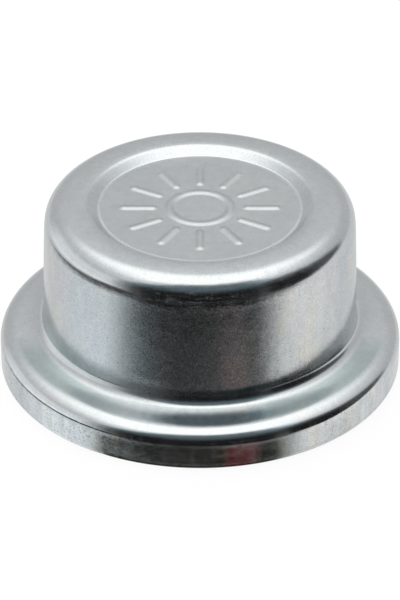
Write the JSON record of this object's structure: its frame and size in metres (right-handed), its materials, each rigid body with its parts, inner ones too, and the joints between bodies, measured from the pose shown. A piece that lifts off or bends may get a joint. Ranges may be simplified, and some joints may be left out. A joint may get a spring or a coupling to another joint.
{
  "type": "hub grease cap",
  "caption": "Pressed steel grease cap with a round dome, a rolled flange and a turned-down skirt that presses over a wheel hub's nose to keep grease in and dirt out.",
  "frame": {"origin": "on the cap's axis, in the plane of the skirt's rim, which is the bottom of the part", "axes": "+Z along the cap's axis, from the open mouth to the closed top; X and Y are equal, as the cap is a body of revolution"},
  "size_m": [0.12, 0.12, 0.054],
  "materials": {
    "zinc_plated_steel": "bright zinc plate over drawn sheet steel: satin sheen, fine grain, faint yellow and blue passivation bloom, small pits and scratches"
  },
  "bodies": {
    "root": {"grease_cap": "zinc_plated_steel"}
  },
  "joints": []
}
